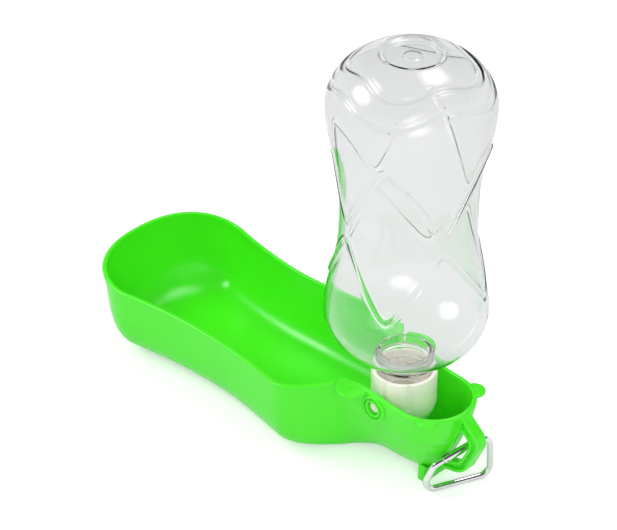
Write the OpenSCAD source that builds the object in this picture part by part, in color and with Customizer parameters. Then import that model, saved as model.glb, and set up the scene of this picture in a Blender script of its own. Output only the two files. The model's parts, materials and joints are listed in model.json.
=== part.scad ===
// Travel water bottle for a dog: a clear bottle screws upside down into a swivel cap,
// and the cap turns on two trunnions in a boat-shaped drinking tray.
// Folded down, the bottle lies in the tray. A spring hook hangs from the tray's loop.
// The origin is the middle of the tray's flat foot pad. +X points to the loop, +Z is up.

/* [Bottle] */
// Widest diameter of the bottle, at both bulges
bottle_d = 72; // [60:0.5:84]
// Diameter at the waist between the bulges
waist_d = 59.6; // [50:0.2:66]
// Fold axis to the widest part of the first bulge
first_bulge = 44.5; // [38:0.5:56]
// Distance between the two bulges
bulge_gap = 102; // [80:1:130]
// Height of the round shoulder under the first bulge
shoulder_h = 25; // [20:0.5:32]
// Height of the dome above the second bulge
dome_h = 26.5; // [20:0.5:34]
// Diameter of the ring that the bottle stands on when it is upright
base_ring_d = 30; // [26:0.5:40]
// Diameter of the sunk disc in the base
base_disc_d = 24.4; // [14:0.2:25]
// Depth of the sunk disc
base_sink = 1.5; // [0.5:0.1:3]
// Thickness of the bottle's wall
bottle_wall = 0.9; // [0.5:0.1:1.6]
// Diameter of the threaded neck
neck_d = 24.8; // [20:0.2:26]
// Thickness of the neck's wall
neck_wall = 1.6; // [1:0.1:2.4]
// Diameter of the collar above the neck's thread
collar_d = 27.4; // [26:0.2:29]
// Thickness of that collar
collar_t = 1.8; // [1:0.1:2.4]
// Gap between the collar and the rim of the cap
collar_gap = 2.2; // [0.5:0.1:3]

/* [Swivel cap] */
// Outer diameter of the cap
cap_d = 29.5; // [28.6:0.1:30]
// Height of the cap's rim over the fold axis
cap_above = 12.5; // [10:0.5:15]
// Depth of the cap's underside below the fold axis
cap_below = 14; // [12:0.5:16]
// Height of the rounded lower edge
cap_round_h = 10.8; // [6:0.2:11]
// Thickness of the cap's wall
cap_wall = 1.7; // [1.2:0.1:1.8]
// Thickness of the floor inside the cap
cap_floor = 2.6; // [1.6:0.1:3.4]
// Width of each finger groove
groove_w = 2.4; // [1:0.1:3]
// Depth of each finger groove
groove_t = 0.35; // [0.2:0.05:0.6]

/* [Seal and valve] */
// Thickness of the gasket under the neck
gasket_t = 1.2; // [0.8:0.1:2]
// Diameter of the hole in the cap's floor that takes the valve
valve_seat_d = 15; // [10:0.2:16]
// Diameter of the valve's flange under the cap
valve_d = 20; // [18:0.2:22]
// Thickness of that flange
valve_flange_t = 2.6; // [1.5:0.1:3.5]
// Length of the valve's spout below the flange
spout_h = 4.5; // [3:0.1:6]
// Diameter of the spout's end
spout_d = 7; // [5:0.2:10]
// Bore of the valve
valve_bore_d = 4; // [2:0.2:4.4]

/* [Fold pivot] */
// Diameter of each trunnion
trunnion_d = 5.4; // [4:0.1:6]
// Running clearance of a trunnion in its bore
trunnion_gap = 0.05; // [0.02:0.01:0.09]
// Diameter of the boss round each bore
boss_d = 12.8; // [11:0.2:13]
// Gap between the cap and each boss
boss_gap = 0.4; // [0.3:0.05:0.8]
// How far each boss stands out of the tray's side
boss_out = 1.5; // [1:0.1:2]
// Diameter of the ring groove in the boss's face
ring_d = 9.2; // [8.4:0.1:9.6]
// Width of that ring groove
ring_w = 0.8; // [0.4:0.1:1]
// Depth of that ring groove
ring_t = 0.5; // [0.3:0.1:0.9]

/* [Tray] */
// Thickness of the tray's wall
tray_wall = 2; // [1.6:0.1:2.4]
// Gap between the folded bottle's first bulge and the tray's side
bulge_clear = 1.6; // [1.2:0.1:3]
// Gap between the bottle's waist and the tray's side
waist_clear = 1.3; // [1:0.1:4]
// Gap between the second bulge and the tray's side
bowl_clear = 2; // [1.2:0.1:5]
// Gap between the folded bottle's base and the tray's round end
end_clear = 6; // [5:0.1:10]
// Gap under the folded bottle
floor_clear = 0.6; // [0.5:0.1:2]
// Angle above level at which the folded bottle lies in the tray
rest_tilt = 1.4; // [0.6:0.1:3]
// Outer width of the channel round the cap
channel_w = 38.5; // [38:0.1:42]
// Reach of the channel's round end from the fold axis
channel_reach = 36.8; // [36:0.1:40]
// Height of the channel's underside above the foot pad
channel_lift = 4.5; // [3.5:0.1:6]
// Height of the long rim over the fold axis
rim_low = 1.5; // [0.5:0.1:2]
// How much the rim rises at the channel and at the round end
rim_rise = 5.5; // [5:0.1:6.5]
// Length of the heel along the tray
heel_l = 4.5; // [3:0.1:7]
// Width of the heel under the channel
heel_w = 16; // [10:0.5:18]
// Diameter of the two lifting ears beside the pivot
side_ear_d = 13; // [9:0.5:14]
// Diameter of the two lifting ears at the channel's end
end_ear_d = 9.6; // [8:0.2:12]
// Thickness of the ears
ear_t = 2; // [1.4:0.1:2.6]

/* [Hanging loop] */
// Reach of the loop beyond the channel
loop_out = 9.7; // [8.7:0.1:11]
// Thickness of the loop's band, from the outer edge to the hole
loop_band = 6.3; // [6:0.1:7]
// Width of the loop's flanges
loop_w = 6; // [4:0.2:7]
// Thickness of the loop's flanges
loop_flange = 1.9; // [1.2:0.1:2.2]
// Height of the loop's lower edge above the ground
loop_lift = 11.5; // [9:0.5:13]
// Thickness of the strip down the end wall inside the loop
strip_t = 0.8; // [0.5:0.1:1]
// Thickness of the loop's web, between its flanges
loop_web = 2; // [1.2:0.1:3]

/* [Spring hook] */
// Diameter of the hook's wire
wire_d = 3; // [2.4:0.1:3.2]
// Length of the straight back, corner to corner
hook_l = 34.6; // [31:0.1:38]
// Width of the hook's nose end
nose_w = 24.5; // [24:0.1:28]
// Width of the hook's hinge end
hinge_w = 13.9; // [13:0.1:15]
// Inner lean of the nose end
nose_lean = 1.8; // [0:0.1:3]
// Inner lean of the hinge end
hinge_lean = 6.4; // [3:0.1:7]
// Bend radius of the wire's centre line
bend_r = 5; // [4:0.1:6]
// Distance from the end wall to the middle of the hook's gate
gate_room = 3.05; // [2.95:0.05:4]
// Turn of the hook from above, from the tray's length
hook_turn = 67; // [60:1:75]
// Lean of the hook's upper side away from the tray
hook_lean = 4; // [2:0.5:6]
// Diameter of the gate's hinge rivet
rivet_d = 1.2; // [0.8:0.1:1.4]
// Thickness of the flattened wire ends
tongue_t = 1.1; // [0.8:0.1:1.3]

/* [Hidden] */
$fn = 64;

// Clearance between parts that don't touch, and how far a cutting block stands out
free_gap = 0.3;
margin = 10;

// Places along the bottle, measured from the fold axis
second_bulge = first_bulge + bulge_gap;
bottle_r = bottle_d / 2;
base_rise = sqrt(1 - pow(base_ring_d / bottle_d, 2));
bottle_end = second_bulge + dome_h * base_rise;
collar_z = cap_above + collar_gap;
cap_floor_z = -cap_below + cap_round_h - cap_floor / 2;
gasket_z = cap_floor_z + cap_floor;
mouth_z = gasket_z + gasket_t + free_gap;
neck_bore = neck_d / 2 - neck_wall;

// Places along the tray, measured from the fold axis towards its round end
tip_at = bottle_end + end_clear + tray_wall;
bowl_at = second_bulge - 4.5;
waist_at = first_bulge + bulge_gap / 2;
shoulder_at = first_bulge - 1.5;
channel_at = shoulder_at - 23.5;
bowl_r = bottle_r + bowl_clear + tray_wall;
waist_r = waist_d / 2 + waist_clear + tray_wall;
shoulder_r = bottle_r + bulge_clear + tray_wall;
channel_r = channel_w / 2;
end_at = channel_reach - channel_r;

// Depths of the tray's underside below the fold axis
under_bottle = bottle_r + floor_clear + tray_wall;
bowl_depth = under_bottle - second_bulge * sin(rest_tilt);
pad_depth = under_bottle - first_bulge * sin(rest_tilt);
channel_depth = pad_depth - channel_lift;
pad_from = channel_at + 5;
pad_flat = 0.25;
pivot_h = pad_depth - pad_flat;
pivot_x = (shoulder_at + pad_from) / 2;

// Steps of the tray's outline and of its section
tip_steps = 10;
side_steps = 9;
shoulder_steps = 6;
channel_steps = 5;
section_steps = 8;
draft = 0.04;

// Shape of the tray: how full its plan and sections are, where 2 is an ellipse
plan_power = 1.95;
waist_power = 1.84;
shoulder_power = 1.8;
tip_square = 3.2;
side_square = 4.3;
pivot_square = 2.2;
end_square = 1.5;

function mix(a, b, t) = a + (b - a) * t;
function smooth(t) = let (c = min(1, max(0, t))) c * c * (3 - 2 * c);
function unit(v) = v / norm(v);
function left_of(v) = [-v[1], v[0]];
function reversed(p) = [for (i = [len(p) - 1:-1:0]) p[i]];

// Tray: half of its outline seen from above, as [x, half width] from round end to loop
function waist_half(x, far_x, far_r) =
    waist_r + (far_r - waist_r) * pow(abs((x + waist_at) / (far_x + waist_at)), waist_power);
half_outline = concat(
    [for (i = [0:tip_steps]) let (a = 90 * i / tip_steps)
        [-bowl_at - (tip_at - bowl_at) * pow(cos(a), 2 / plan_power),
            bowl_r * pow(sin(a), 2 / plan_power)]],
    [for (i = [1:side_steps]) let (x = mix(-bowl_at, -waist_at, i / side_steps))
        [x, waist_half(x, -bowl_at, bowl_r)]],
    [for (i = [1:side_steps]) let (x = mix(-waist_at, -shoulder_at, i / side_steps))
        [x, waist_half(x, -shoulder_at, shoulder_r)]],
    [for (i = [1:shoulder_steps]) let (t = i / shoulder_steps)
        [mix(-shoulder_at, -channel_at, t), mix(shoulder_r, channel_r, pow(t, shoulder_power))]],
    [for (i = [1:channel_steps]) [mix(-channel_at, end_at, i / channel_steps), channel_r]],
    [for (i = [1:tip_steps]) let (a = 90 - 90 * i / tip_steps)
        [end_at + channel_r * cos(a), channel_r * sin(a)]]);
last = len(half_outline) - 1;

// The same outline moved inwards by d
function along(p, i) =
    i == 0 ? [0, 1] : i == last ? [0, -1] : unit(p[i + 1] - p[i - 1]);
function inward(p, d) = [for (i = [0:last]) p[i] - d * left_of(along(p, i))];

// Heights of the rim and of the underside at a place x along the tray
rim_top = rim_low + rim_rise;
rise_from = channel_at + 3;
rise_l = 14;
settle_l = 40;
lift_l = 20;
function rim_z(x) = rim_low + rim_rise * max(smooth((x + rise_from) / rise_l),
    smooth((-x - bowl_at - 3) / (tip_at - bowl_at - 3)));
function floor_z(x) =
    x < -shoulder_at ? -mix(pad_depth, bowl_depth, smooth((-shoulder_at - x) / settle_l)) :
    x > -pad_from ? -mix(pad_depth, channel_depth, smooth((x + pad_from) / lift_l)) :
    -pad_depth;

function squareness(x) =
    x < -bowl_at ? mix(tip_square, side_square, smooth((x + tip_at) / (tip_at - bowl_at))) :
    x < -shoulder_at ? side_square :
    x < 0 ? mix(side_square, pivot_square, smooth((x + shoulder_at) / shoulder_at)) :
    mix(pivot_square, end_square, smooth(x / channel_reach));
// Share of the half width at ring j, from 1 at the rim towards the middle of the floor
side_turn = 80;
function section_share(n, j) =
    j <= section_steps ? pow(cos(side_turn * j / section_steps), 2 / n) :
    pow(cos(side_turn), 2 / n) * (j == section_steps + 1 ? 0.6 : 0.25);
ring_count = section_steps + 3;

// One point of the tray's skin: ring j under outline point p, for a floor raised by lift
function skin(p, q, j, lift) =
    let (n = squareness(q[0]), u = section_share(n, j))
    let (d = pow(max(0, 1 - pow(u, n)), 1 / n), k = u * (1 - draft * d))
    let (s = min(end_at, max(-bowl_at, p[0])))
    let (x = s + (p[0] - s) * k)
    [x, p[1] * k, mix(rim_z(q[0]), floor_z(x) + lift, d)];
function full_ring(p, j, lift) = concat(
    [for (i = [0:last]) skin(p[i], half_outline[i], j, lift)],
    [for (i = [last - 1:-1:1]) let (v = skin(p[i], half_outline[i], j, lift)) [v[0], -v[1], v[2]]]);

module tray_shell() {
    around = 2 * last;
    inner = inward(half_outline, tray_wall);
    points = concat(
        [for (j = [0:ring_count - 1]) each full_ring(half_outline, j, 0)],
        [for (j = [0:ring_count - 1]) each full_ring(inner, j, tray_wall)]);
    base = ring_count * around;
    bottom = (ring_count - 1) * around;
    function across(k) = (around - k) % around;
    faces = concat(
        [for (j = [0:ring_count - 2], k = [0:around - 1])
            let (a = j * around + k, b = j * around + (k + 1) % around)
            each [[a, a + around, b + around], [a, b + around, b]]],
        [for (j = [0:ring_count - 2], k = [0:around - 1])
            let (a = base + j * around + k, b = base + j * around + (k + 1) % around)
            each [[a, b + around, a + around], [a, b, b + around]]],
        [for (k = [0:around - 1]) let (m = (k + 1) % around)
            each [[k, m, base + m], [k, base + m, base + k]]],
        [for (k = [0:last - 2]) let (a = bottom + k, b = a + 1, c = bottom + across(k + 1))
            each [[a, c, b], [base + a, base + b, base + c]]],
        [for (k = [1:last - 1]) let (a = bottom + k, c = bottom + across(k + 1), d = bottom + across(k))
            each [[a, d, c], [base + a, base + c, base + d]]]);
    polyhedron(points, faces, convexity = 6);
}

// Closed outline with rounded corners, each with its own radius
function corner_arc(a, b, c, r, steps) =
    let (u = unit(a - b), v = unit(c - b), half = acos(u * v) / 2)
    let (centre = b + unit(u + v) * r / sin(half))
    let (start = b + u * r / tan(half) - centre, end = b + v * r / tan(half) - centre)
    let (from = atan2(start[1], start[0]), side = start[0] * end[1] - start[1] * end[0])
    let (sweep = (side > 0 ? 1 : -1) * (180 - 2 * half))
    [for (i = [0:steps]) centre + r * [cos(from + sweep * i / steps), sin(from + sweep * i / steps)]];
function rounded(p, r, steps = 6) = let (n = len(p)) [for (i = [0:n - 1])
    each r[i] > 0 ? corner_arc(p[(i + n - 1) % n], p[i], p[(i + 1) % n], r[i], steps) : [p[i]]];

// Corners of a clockwise outline moved inwards by d
function inset(p, d) = let (n = len(p)) [for (i = [0:n - 1])
    let (before = -left_of(unit(p[i] - p[(i + n - 1) % n])))
    let (after = -left_of(unit(p[(i + 1) % n] - p[i])))
    p[i] + d * (before + after) / (1 + before * after)];

module at_pivot() {
    translate([pivot_x, 0, pivot_h]) children();
}

// Stands a drawing of length and height upright, t thick about the middle of the tray
module upright(t) {
    rotate([90, 0, 0]) linear_extrude(t, center = true) children();
}

module across_y(from, to, d) {
    translate([0, from, 0]) rotate([-90, 0, 0]) cylinder(d = d, h = to - from);
}

// Loop: corners seen from the side, clockwise from the channel's rim
root_x = end_at + 3;
loop_reach = channel_reach + loop_out;
loop_low = loop_lift - pivot_h;
loop_turn_x = loop_reach - 7.8;
eye_turn_x = loop_reach - loop_band - 5.4;
edge_slope = 0.264;
eye_slope = 0.225;
eye_top = -4;
eye_low = loop_low + 4;
loop_corners = [[root_x, rim_top - 1], [channel_reach - 0.8, rim_top - 1.6],
    [loop_reach + 1.5, eye_top - 0.9], [loop_turn_x, loop_low],
    [root_x, loop_low - edge_slope * (loop_turn_x - root_x)]];
hole_corners = [[root_x, eye_top], [channel_reach - 0.5, eye_top],
    [loop_reach - loop_band + 1, eye_top - 4.6], [eye_turn_x, eye_low],
    [root_x, eye_low - eye_slope * (eye_turn_x - root_x)]];

// The channel's end wall at its middle, seen from the side
end_wall = [for (j = [0:section_steps - 1])
    let (o = skin(half_outline[last], half_outline[last], j, 0)) [o[0], o[2]]];
function shifted(p, d) = [for (q = p) [q[0] + d, q[1]]];

module beyond(wall) {
    polygon(concat(wall, [[root_x - 1, loop_low - 12], [loop_reach + 5, loop_low - 12],
        [loop_reach + 5, rim_top]]));
}

module loop_side() {
    intersection() {
        polygon(rounded(loop_corners, [0, 2, 5, 5, 0]));
        beyond(shifted(end_wall, -tray_wall / 2));
    }
}

module loop_hole() {
    intersection() {
        polygon(rounded(hole_corners, [0, 1.5, 3, 2.5, 0]));
        beyond(shifted(end_wall, 0.2));
    }
}

module loop_recess() {
    intersection() {
        difference() {
            polygon(rounded(inset(loop_corners, loop_flange), [0, 1, 3.5, 3.5, 0]));
            polygon(rounded(inset(hole_corners, -loop_flange), [0, 2.5, 4.5, 4, 0]));
        }
        beyond(shifted(end_wall, strip_t));
    }
}

module loop() {
    difference() {
        upright(loop_w) loop_side();
        upright(loop_w + 2) loop_hole();
        for (side = [-1, 1]) translate([0, side * (loop_w + loop_web) / 2, 0])
            upright(loop_w) loop_recess();
    }
}

// Heel: a block across the tray whose top follows the middle of the tray's wall
heel_x = end_at - 1;
module heel() {
    n = squareness(heel_x);
    deep = rim_top - floor_z(heel_x);
    heel_top = [for (i = [-6:6])
        let (y = heel_w / 2 * i / 6, u = abs(y) / (channel_r * (1 - draft)))
        [y, rim_top - deep * pow(1 - pow(u, n), 1 / n) + tray_wall / 2]];
    translate([heel_x, 0, 0]) rotate([90, 0, 90]) linear_extrude(heel_l)
        polygon(concat([[heel_w / 2, -pivot_h], [-heel_w / 2, -pivot_h]], heel_top));
}

// Lifting ears: discs on the rim that stand out sideways
side_ear_x = -channel_at + 8;
side_ear_y = channel_r + 4;
ear_angle = 52;
module ear(x, y, d) {
    translate([x, y, rim_top - ear_t]) difference() {
        cylinder(d = d, h = ear_t);
        translate([0, 0, ear_t - 0.5]) cylinder(d = 1.6, h = 1);
    }
}

module ears() {
    inner = inward(half_outline, tray_wall);
    difference() {
        for (side = [-1, 1]) {
            ear(side_ear_x, side * side_ear_y, side_ear_d);
            ear(end_at + (channel_r - 1.5) * cos(ear_angle),
                side * (channel_r - 1.5) * sin(ear_angle), end_ear_d);
        }
        translate([0, 0, rim_top - ear_t - 1]) linear_extrude(ear_t + 2)
            polygon(concat(inner, [for (i = [last - 1:-1:1]) [inner[i][0], -inner[i][1]]]));
    }
}

boss_in = cap_d / 2 + boss_gap;
boss_face = channel_r + boss_out;
module boss() {
    difference() {
        across_y(boss_in, boss_face, boss_d);
        difference() {
            across_y(boss_face - ring_t, boss_face + 1, ring_d + ring_w);
            across_y(boss_face - ring_t - 1, boss_face + 2, ring_d - ring_w);
        }
    }
}

module tray() {
    color("limegreen") at_pivot() difference() {
        union() {
            tray_shell();
            heel();
            loop();
            ears();
            for (side = [0, 1]) mirror([0, side, 0]) boss();
        }
        for (side = [0, 1]) mirror([0, side, 0])
            across_y(boss_in - 1, boss_face + 1, trunnion_d + 2 * trunnion_gap);
        translate([-tip_at - margin, -bowl_r - margin, -pivot_h - margin])
            cube([tip_at + loop_reach + 2 * margin, 2 * (bowl_r + margin), margin]);
    }
}

// Bottle: outline of its skin moved inwards by s, from the neck to the base
function waist_radius(z, s) =
    let (share = (1 + cos(360 * (z - first_bulge) / bulge_gap)) / 2)
    mix(waist_d / 2, bottle_r, pow(share, 1.6)) - s;
function bottle_skin(s) =
    let (r = bottle_r - s, low = shoulder_h - s, high = dome_h - s)
    let (neck_a = acos((s > 0 ? neck_bore : neck_d / 2) / r), base_a = acos((base_ring_d / 2 - s) / r))
    concat(
        [for (i = [0:9]) let (a = neck_a * (1 - i / 10)) [r * cos(a), first_bulge - low * sin(a)]],
        [for (i = [0:16]) let (z = first_bulge + bulge_gap * i / 16) [waist_radius(z, s), z]],
        [for (i = [1:10]) let (a = base_a * i / 10) [r * cos(a), second_bulge + high * sin(a)]]);
disc_r = base_disc_d / 2;
disc_z = bottle_end - base_sink;
nub_r = 4.2;
nub_t = 0.8;
module bottle() {
    w = bottle_wall;
    color([0.9, 0.94, 0.95, 0.4]) at_pivot() rotate_extrude($fn = 96) polygon(concat(
        [[neck_bore, mouth_z], [neck_d / 2, mouth_z], [neck_d / 2, collar_z],
            [collar_d / 2, collar_z + 0.4], [collar_d / 2, collar_z + collar_t - 0.4],
            [neck_d / 2, collar_z + collar_t]],
        bottle_skin(0),
        [[disc_r + 1.2, bottle_end + 0.3], [disc_r, bottle_end - 0.2], [disc_r, disc_z],
            [nub_r, disc_z], [nub_r - 0.5, disc_z + nub_t], [0, disc_z + nub_t],
            [0, disc_z + nub_t - w], [nub_r - 0.5 - w / 2, disc_z + nub_t - w],
            [nub_r - w / 2, disc_z - w], [disc_r - w / 2, disc_z - w]],
        reversed(bottle_skin(w))));
}

// Swivel cap: a threaded cup with a rounded lower edge, seen in section
cap_r = cap_d / 2;
cap_bore = cap_r - cap_wall;
cap_foot_r = valve_d / 2;
floor_bore = neck_bore - 2;
module swivel_cap() {
    color("ivory") at_pivot() {
        difference() {
            rotate_extrude($fn = 96) polygon(concat(
                [[cap_bore, gasket_z], [cap_bore, cap_above - 0.4], [cap_bore + 0.4, cap_above],
                    [cap_r - 0.4, cap_above], [cap_r, cap_above - 0.4]],
                [for (i = [0:8]) let (a = 90 * i / 8)
                    [cap_foot_r + (cap_r - cap_foot_r) * cos(a),
                        cap_round_h - cap_below - cap_round_h * sin(a)]],
                [[valve_seat_d / 2, -cap_below], [valve_seat_d / 2, cap_floor_z],
                    [floor_bore, cap_floor_z], [floor_bore, gasket_z]]));
            for (side = [0, 180], turn = [45, 90, 135]) rotate(side + turn)
                translate([cap_r + groove_w - groove_t, 0, trunnion_d / 2 + 1])
                    cylinder(r = groove_w, h = cap_above, $fn = 32);
        }
        for (side = [0, 1]) mirror([0, side, 0]) difference() {
            across_y(cap_bore + 0.3, boss_face - 0.3, trunnion_d);
            across_y(boss_face - 0.6, boss_face, 1.6);
        }
    }
}

module neck_gasket() {
    color("whitesmoke") at_pivot() translate([0, 0, gasket_z]) difference() {
        cylinder(r = cap_bore - 0.1, h = gasket_t);
        translate([0, 0, -1]) cylinder(r = floor_bore, h = gasket_t + 2);
    }
}

// Outlet valve: a flange under the cap, a spigot inside it and a short spout
module outlet_valve() {
    flange_z = -cap_below - valve_flange_t;
    color("silver") at_pivot() difference() {
        union() {
            translate([0, 0, flange_z]) cylinder(d = valve_d, h = valve_flange_t);
            translate([0, 0, -cap_below - 0.1])
                cylinder(d = valve_seat_d - 0.1, h = cap_floor_z + cap_below + 0.1);
            translate([0, 0, flange_z - spout_h])
                cylinder(d1 = spout_d, d2 = spout_d + 1.6, h = spout_h + 0.1);
        }
        translate([0, 0, flange_z - spout_h - 1]) cylinder(d = valve_bore_d, h = spout_h + 3);
        translate([0, 0, flange_z + 1]) cylinder(d = valve_seat_d - 3, h = cap_below + valve_flange_t);
    }
}

// Spring hook: corners of the wire's centre line in the hook's own plane
wire_r = wire_d / 2;
hook_corners = [[hinge_lean - 1.5, hinge_w], [-1.5, 0], [hook_l - 1.5, 0],
    [hook_l - 1.5 - nose_lean, nose_w]];
gate_line = unit(hook_corners[3] - hook_corners[0]);
function bend_reach(a, b, c) = bend_r / tan(acos(unit(a - b) * unit(c - b)) / 2);
hinge_reach = bend_reach(hook_corners[3], hook_corners[0], hook_corners[1]);
nose_from = norm(hook_corners[3] - hook_corners[0])
    - bend_reach(hook_corners[2], hook_corners[3], hook_corners[0]);

// Places along the gate, measured from the hinge corner
gate_d = wire_d + 0.2;
gate_bore = 1.8;
cheek_gap = tongue_t + 2 * free_gap;
gate_start = hinge_reach + 2.6;
rivet_at = gate_start + 1.6;
gate_end = nose_from - 0.6;
catch_at = gate_end - 1.4;
pin_d = 0.9;
tongue_end = rivet_at + 1.2;
plunger_at = tongue_end + free_gap;
plunger_l = 2.4;
spring_at = plunger_at + plunger_l;
spring_l = 6;
spring_turns = 7;
spring_wire = 0.3;

// A point of the hook's own plane, turned as the hook stands
function turned(p) = [p[0] * cos(hook_turn) + p[1] * sin(hook_lean) * sin(hook_turn),
    p[0] * sin(hook_turn) - p[1] * sin(hook_lean) * cos(hook_turn), p[1] * cos(hook_lean)];

// Outside of the channel's end wall at its middle, at height z
function end_wall_x(z) =
    let (d = (rim_top - z) / (rim_top + channel_depth))
    end_at + channel_r * pow(1 - pow(d, end_square), 1 / end_square) * (1 - draft * d);

// The hook's back lies on the ground under the loop, and its upper side leans outwards.
// Its gate crosses the middle of the tray just outside the end wall
hook_y = -14.2;
gate_foot = turned(hook_corners[0]);
gate_way = turned(gate_line);
gate_cross = gate_foot - gate_way * (hook_y + gate_foot[1]) / gate_way[1];
gate_z = gate_cross[2] + wire_r - pivot_h;
hook_x = end_wall_x(gate_z) + gate_room - gate_cross[0];
module in_hook() {
    translate([pivot_x + hook_x, hook_y, wire_r]) rotate(hook_turn) rotate([90 + hook_lean, 0, 0])
        children();
}

module in_gate() {
    in_hook() translate(hook_corners[0]) rotate(atan2(gate_line[1], gate_line[0])) children();
}

// The frame's wire follows its corners round, from one end of the gate to the other
wire_sides = 20;
bend_steps = 8;
wire_path = concat([hook_corners[0] + gate_line * (gate_start - free_gap)],
    [for (i = [0:3]) each corner_arc(hook_corners[(i + 3) % 4], hook_corners[i],
        hook_corners[(i + 1) % 4], bend_r, bend_steps)]);
module wire() {
    count = len(wire_path);
    points = [for (i = [0:count - 1])
        let (a = wire_path[max(0, i - 1)], b = wire_path[min(count - 1, i + 1)])
        let (side = left_of(unit(b - a)))
        for (k = [0:wire_sides - 1]) let (turn = 360 * k / wire_sides)
            [each wire_path[i] + wire_r * cos(turn) * side, wire_r * sin(turn)]];
    faces = concat([[for (k = [0:wire_sides - 1]) k]],
        [[for (k = [wire_sides - 1:-1:0]) (count - 1) * wire_sides + k]],
        [for (i = [0:count - 2], k = [0:wire_sides - 1])
            let (a = i * wire_sides + k, b = i * wire_sides + (k + 1) % wire_sides)
            each [[a, a + wire_sides, b + wire_sides], [a, b + wire_sides, b]]]);
    polyhedron(points, faces, convexity = 6);
}

// Bar along the gate from x to x, as high as the wire and t thick
module tongue(from, to, h, t) {
    translate([from, -h / 2, -t / 2]) cube([to - from, h, t]);
}

module hook_frame() {
    color("gainsboro") {
        in_hook() wire();
        in_gate() {
            difference() {
                tongue(gate_start - 1.2, tongue_end, wire_d - 0.5, tongue_t);
                translate([rivet_at, 0, -2]) cylinder(d = rivet_d + 0.1, h = 4);
            }
            difference() {
                tongue(catch_at - 1.2, nose_from + 0.5, wire_d - 0.6, tongue_t);
                translate([catch_at - 0.75, -wire_d, -2]) cube([1.5, wire_d + 0.7, 4]);
            }
        }
    }
}

module hook_gate() {
    color("lightgray") in_gate() difference() {
        translate([gate_start, 0, 0]) rotate([0, 90, 0]) cylinder(d = gate_d, h = gate_end - gate_start);
        translate([gate_start - 1, 0, 0]) rotate([0, 90, 0])
            cylinder(d = gate_bore, h = spring_at + spring_l - gate_start + 1.2);
        tongue(gate_start - 1, tongue_end + 0.6, gate_d + 1, cheek_gap);
        tongue(catch_at - 1.8, gate_end + 1, gate_d + 1, cheek_gap);
        for (x = [rivet_at, catch_at]) translate([x, 0, -3])
            cylinder(d = x == rivet_at ? rivet_d : pin_d, h = 6);
    }
}

module gate_rivet() {
    color("gray") in_gate() translate([rivet_at, 0, -gate_d / 2]) cylinder(d = rivet_d, h = gate_d);
}

module gate_catch_pin() {
    color("gray") in_gate() translate([catch_at, 0, -gate_d / 2 + 0.1])
        cylinder(d = pin_d, h = gate_d - 0.2);
}

module gate_plunger() {
    color("gray") in_gate() translate([plunger_at, 0, 0]) rotate([0, 90, 0])
        cylinder(d = gate_bore - 0.1, h = plunger_l);
}

// Coil spring behind the plunger, as a square-section wire swept along a helix
module gate_spring() {
    steps = 16;
    count = steps * spring_turns;
    r = (gate_bore - 0.15 - spring_wire) / 2;
    run = spring_l - spring_wire - 0.1;
    profile = [for (k = [0:5]) spring_wire / 2 * [cos(60 * k), sin(60 * k)]];
    points = [for (i = [0:count]) let (a = 360 * i / steps)
        for (q = profile) [(r + q[0]) * cos(a), (r + q[0]) * sin(a), run * i / count + q[1]]];
    faces = concat([[for (k = [0:5]) k]], [[for (k = [5:-1:0]) count * 6 + k]],
        [for (i = [0:count - 1], k = [0:5]) let (a = i * 6 + k, b = i * 6 + (k + 1) % 6)
            each [[a, a + 6, b + 6], [a, b + 6, b]]]);
    color("gray") in_gate() translate([spring_at + spring_wire / 2 + 0.05, 0, 0])
        rotate([0, 90, 0]) polyhedron(points, faces, convexity = 10);
}

tray();
bottle();
swivel_cap();
neck_gasket();
outlet_valve();
hook_frame();
hook_gate();
gate_rivet();
gate_catch_pin();
gate_plunger();
gate_spring();
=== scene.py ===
import json
import math
import bmesh
import bpy
import numpy as np
from mathutils import Matrix, Vector

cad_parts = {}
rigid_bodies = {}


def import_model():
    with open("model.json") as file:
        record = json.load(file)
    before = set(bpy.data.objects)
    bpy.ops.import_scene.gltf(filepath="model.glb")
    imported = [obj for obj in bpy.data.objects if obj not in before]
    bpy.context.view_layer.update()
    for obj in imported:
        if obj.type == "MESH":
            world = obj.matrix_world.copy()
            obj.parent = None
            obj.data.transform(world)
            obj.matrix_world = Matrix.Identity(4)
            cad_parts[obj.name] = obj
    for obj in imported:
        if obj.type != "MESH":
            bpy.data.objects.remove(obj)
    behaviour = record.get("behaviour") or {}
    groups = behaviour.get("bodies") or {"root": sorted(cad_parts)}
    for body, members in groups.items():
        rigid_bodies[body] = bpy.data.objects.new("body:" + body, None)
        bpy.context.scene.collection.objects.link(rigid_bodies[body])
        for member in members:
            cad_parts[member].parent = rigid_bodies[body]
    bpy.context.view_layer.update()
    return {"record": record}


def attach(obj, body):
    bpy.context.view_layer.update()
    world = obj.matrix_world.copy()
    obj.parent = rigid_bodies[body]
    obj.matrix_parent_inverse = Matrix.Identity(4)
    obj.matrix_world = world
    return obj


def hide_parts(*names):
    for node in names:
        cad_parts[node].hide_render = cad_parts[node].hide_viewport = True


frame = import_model()
jointRows = frame["record"]["behaviour"]["joints"]
pivot = 1000 * np.array(next(j for j in jointRows if j["name"] == "bottle_fold")["pos_m"])
print("frame loaded, fold axis at", pivot.round(2))

# Helpers: sizes are in millimetres from the middle of the fold axis


def mix(a, b, t):
    return a + (b - a) * t


def smooth(t):
    c = np.clip(t, 0, 1)
    return c * c * (3 - 2 * c)


def unit(v):
    v = np.asarray(v, float)
    return v / np.linalg.norm(v)


def bell(reach, width):  # weights that even out a row of values
    weights = np.exp(-0.5 * (np.arange(-reach, reach + 1) / width) ** 2)
    return weights / weights.sum()


def runAlong(points):  # length of the way to each point
    return np.concatenate([[0], np.cumsum(np.linalg.norm(np.diff(points, axis=0), axis=1))])


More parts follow.
